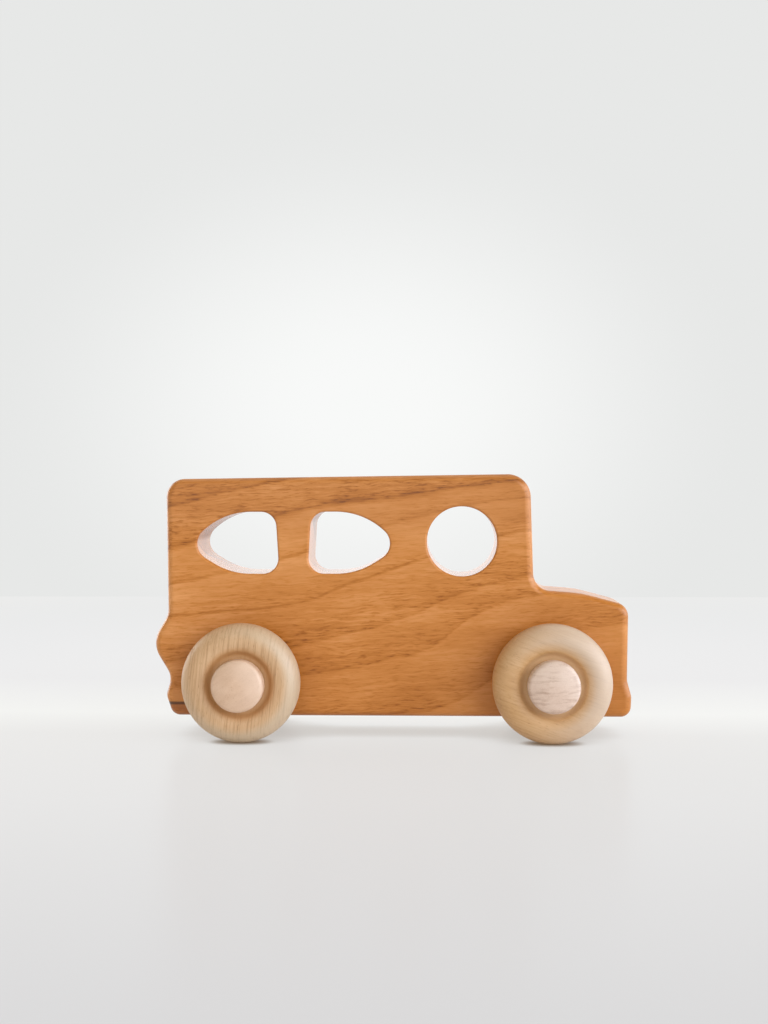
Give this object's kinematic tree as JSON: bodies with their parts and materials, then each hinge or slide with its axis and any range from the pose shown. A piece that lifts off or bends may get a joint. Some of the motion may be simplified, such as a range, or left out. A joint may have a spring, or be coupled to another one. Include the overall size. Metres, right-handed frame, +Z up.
{
  "type": "wooden toy car",
  "caption": "Boxy push-along toy car: a rounded-over cherry board with cut-through windows and a spare-wheel bump, rolling on turned maple wheels held by glued axle pegs.",
  "frame": {"origin": "on the floor under the middle of the car's box", "axes": "+X forward, towards the bonnet; +Y to the car's left; +Z up"},
  "size_m": [0.1546, 0.062, 0.0855],
  "materials": {
    "cherry": "oiled satin, fine grain rising towards the front",
    "maple": "turned, bare satin",
    "birch": "turned, bare satin"
  },
  "bodies": {
    "car": {"board": "cherry", "peg_rear_right": "birch", "peg_rear_left": "birch", "peg_front_right": "birch", "peg_front_left": "birch"},
    "rear_right_wheel": {"wheel_rear_right": "maple"},
    "rear_left_wheel": {"wheel_rear_left": "maple"},
    "front_right_wheel": {"wheel_front_right": "maple"},
    "front_left_wheel": {"wheel_front_left": "maple"}
  },
  "joints": [
    {"name": "rear_right_spin", "type": "hinge", "parent": "car", "child": "rear_right_wheel", "pos_m": [-0.04805, -0.01955, 0.019], "axis": [0, 1, 0], "continuous": true},
    {"name": "rear_left_spin", "type": "hinge", "parent": "car", "child": "rear_left_wheel", "pos_m": [-0.04805, 0.01955, 0.019], "axis": [0, 1, 0], "continuous": true},
    {"name": "front_right_spin", "type": "hinge", "parent": "car", "child": "front_right_wheel", "pos_m": [0.05115, -0.01955, 0.019], "axis": [0, 1, 0], "continuous": true},
    {"name": "front_left_spin", "type": "hinge", "parent": "car", "child": "front_left_wheel", "pos_m": [0.05115, 0.01955, 0.019], "axis": [0, 1, 0], "continuous": true}
  ]
}
